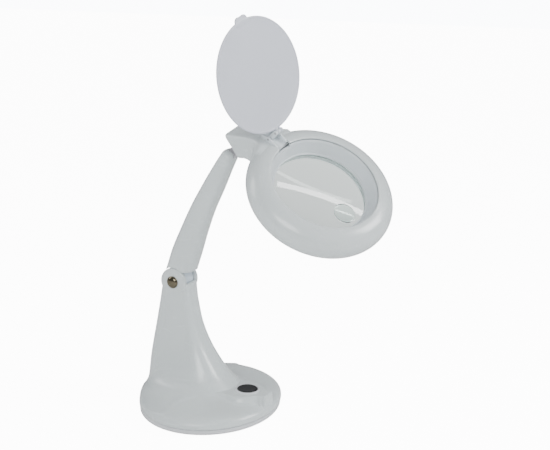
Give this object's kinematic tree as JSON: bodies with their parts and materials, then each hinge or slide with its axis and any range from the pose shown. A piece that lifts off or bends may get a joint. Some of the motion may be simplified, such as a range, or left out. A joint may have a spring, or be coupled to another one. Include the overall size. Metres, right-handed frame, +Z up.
{
  "type": "magnifying lamp",
  "caption": "Desk magnifying lamp: round lens in a tube-lit ring head, tilting and rolling on a curved folding arm, weighted oval base, flip-up lens cover.",
  "frame": {"origin": "middle of the oval base, on its underside", "axes": "+Z up, -Y to the front where the switch is and the head reaches, +X to the lamp's left as it faces the user"},
  "size_m": [0.1861, 0.2934, 0.4586],
  "materials": {
    "shell_white": "glossy moulded ABS, cool off-white with a faint green-blue cast",
    "pan_white": "satin moulded ABS, white",
    "inner_white": "satin moulded ABS, pale blue-white",
    "cover_white": "satin moulded ABS, very pale lilac-white",
    "knuckle_pale": "glossy moulded ABS, pale blue-grey",
    "button_black": "glossy black cap",
    "black_plastic": "black nylon housing",
    "black_rubber": "matt black elastomer",
    "foam_grey": "closed-cell foam sheet",
    "grey_plastic": "grey glass-filled nylon",
    "steel": "zinc-plated",
    "dark_chrome": "dark bronze-tinted bright plate",
    "iron": "rough casting, painted",
    "lens_clear": "clear, faint green, polished",
    "tube_glass": "opal phosphor-coated tube"
  },
  "bodies": {
    "base": {"base_shell": "shell_white", "base_pan": "pan_white", "base_pad": "foam_grey", "ballast_weight": "iron", "base_screw_1": "steel", "base_screw_2": "steel", "base_screw_3": "steel", "base_screw_4": "steel", "column_rear_cover": "shell_white", "cord_inlet": "black_rubber", "lamp_ballast": "grey_plastic", "switch_bezel": "pan_white", "switch_body": "black_plastic", "pivot_bolt": "steel", "pin_cap_left": "dark_chrome", "pin_cap_right": "dark_chrome", "friction_washer_left": "black_rubber", "friction_washer_right": "black_rubber"},
    "button": {"power_button": "button_black"},
    "arm": {"arm_shell": "shell_white", "arm_rear_cover": "shell_white", "arm_knuckle": "knuckle_pale", "arm_tongue": "steel"},
    "neck": {"neck_fork": "steel", "neck_washer_left": "black_rubber", "neck_washer_right": "black_rubber", "neck_pin": "steel", "stem_clip": "steel"},
    "head": {"head_shell": "shell_white", "neck_bearing": "grey_plastic", "recess_ring": "inner_white", "main_lens": "lens_clear", "inset_lens": "lens_clear", "lens_retainer": "shell_white", "reflector": "inner_white", "lamp_tube": "tube_glass", "tube_cap": "pan_white", "lamp_socket": "pan_white", "tube_clip_1": "steel", "tube_clip_2": "steel", "tube_clip_3": "steel", "lower_ring": "shell_white", "lens_screw_1": "steel", "lens_screw_2": "steel", "lens_screw_3": "steel", "lens_screw_4": "steel", "hinge_bracket": "inner_white", "link_pin_lower": "steel"},
    "link": {"hinge_link": "inner_white", "link_pin_upper": "steel"},
    "cover": {"lens_cover": "cover_white"}
  },
  "joints": [
    {"name": "power_switch", "type": "slide", "parent": "base", "child": "button", "axis": [0, 0, -1], "range_m": [0, 0.002], "stiffness_N_per_m": 600},
    {"name": "arm_fold", "type": "hinge", "parent": "base", "child": "arm", "pos_m": [0, 0.0421, 0.1502], "axis": [1, 0, 0], "range_deg": [-20, 33]},
    {"name": "head_tilt", "type": "hinge", "parent": "arm", "child": "neck", "pos_m": [0, -0.0395, 0.3205], "axis": [1, 0, 0], "range_deg": [-50, 15]},
    {"name": "head_roll", "type": "hinge", "parent": "neck", "child": "head", "pos_m": [0, -0.0395, 0.3205], "axis": [0, -0.8261, -0.5635], "range_deg": [-53, 6.5]},
    {"name": "link_hinge", "type": "hinge", "parent": "head", "child": "link", "pos_m": [-0.01547, -0.08615, 0.33175], "axis": [0.9171, -0.2247, 0.3294], "range_deg": [0, 62]},
    {"name": "cover_hinge", "type": "hinge", "parent": "link", "child": "cover", "pos_m": [-0.0198, -0.09462, 0.33804], "axis": [0.9171, -0.2247, 0.3294], "range_deg": [0, 72]}
  ]
}
